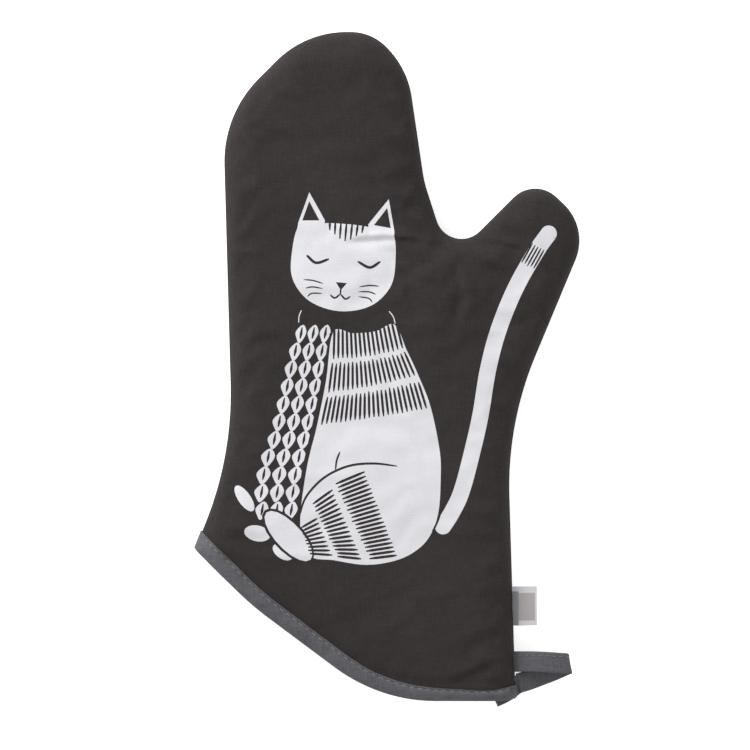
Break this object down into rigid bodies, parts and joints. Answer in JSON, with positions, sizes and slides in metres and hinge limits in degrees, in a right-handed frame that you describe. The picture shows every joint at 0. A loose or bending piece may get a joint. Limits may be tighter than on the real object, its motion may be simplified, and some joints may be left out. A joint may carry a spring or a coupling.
{
  "type": "oven mitt",
  "caption": "Padded cotton oven mitt with a separate thumb, slanting bound cuff, hanging loop and side label, lying flat.",
  "frame": {"origin": "bottom centre of the mitt's bounding box, lying flat with the printed side up", "axes": "+Z out of the printed side, +Y towards the fingertips, +X towards the thumb side"},
  "size_m": [0.202, 0.3524, 0.024],
  "materials": {
    "charcoal_cotton": "plain-weave cotton, printed in white on the front",
    "charcoal_thread": "sewn seam",
    "batting": "needled cotton batting",
    "lining_cotton": "plain cotton",
    "grey_tape": "folded cotton tape",
    "grey_thread": "sewing thread",
    "satin": "satin ribbon"
  },
  "bodies": {
    "palm": {"outer_front_palm": "charcoal_cotton", "outer_back_palm": "charcoal_cotton", "side_seam_palm": "charcoal_thread", "batting_front_palm": "batting", "batting_back_palm": "batting", "lining_front_palm": "lining_cotton", "lining_back_palm": "lining_cotton", "cuff_binding": "grey_tape", "binding_topstitch": "grey_thread"},
    "fingers": {"outer_front_fingers": "charcoal_cotton", "outer_back_fingers": "charcoal_cotton", "side_seam_fingers": "charcoal_thread", "batting_front_fingers": "batting", "batting_back_fingers": "batting", "lining_front_fingers": "lining_cotton", "lining_back_fingers": "lining_cotton"},
    "thumb": {"outer_front_thumb": "charcoal_cotton", "outer_back_thumb": "charcoal_cotton", "side_seam_thumb": "charcoal_thread", "batting_front_thumb": "batting", "batting_back_thumb": "batting", "lining_front_thumb": "lining_cotton", "lining_back_thumb": "lining_cotton"},
    "hanging_loop": {"hanging_loop_tape": "grey_tape", "hanging_loop_stitch": "grey_thread"},
    "label": {"side_label": "satin"}
  },
  "joints": [
    {"name": "finger_fold", "type": "hinge", "parent": "palm", "child": "fingers", "pos_m": [-0.033, 0.097, 0.018], "axis": [1, 0, 0], "range_deg": [0, 90]},
    {"name": "thumb_fold", "type": "hinge", "parent": "palm", "child": "thumb", "pos_m": [0.06703, 0.05776, 0.018], "axis": [0.7071, -0.7071, 0], "range_deg": [0, 60]},
    {"name": "loop_swing", "type": "hinge", "parent": "palm", "child": "hanging_loop", "pos_m": [0.06807, -0.16375, 0.012], "axis": [0, -1, 0], "range_deg": [-15, 70]},
    {"name": "label_swing", "type": "hinge", "parent": "palm", "child": "label", "pos_m": [0.06667, -0.1269, 0.012], "axis": [0, -1, 0], "range_deg": [-60, 80]}
  ]
}
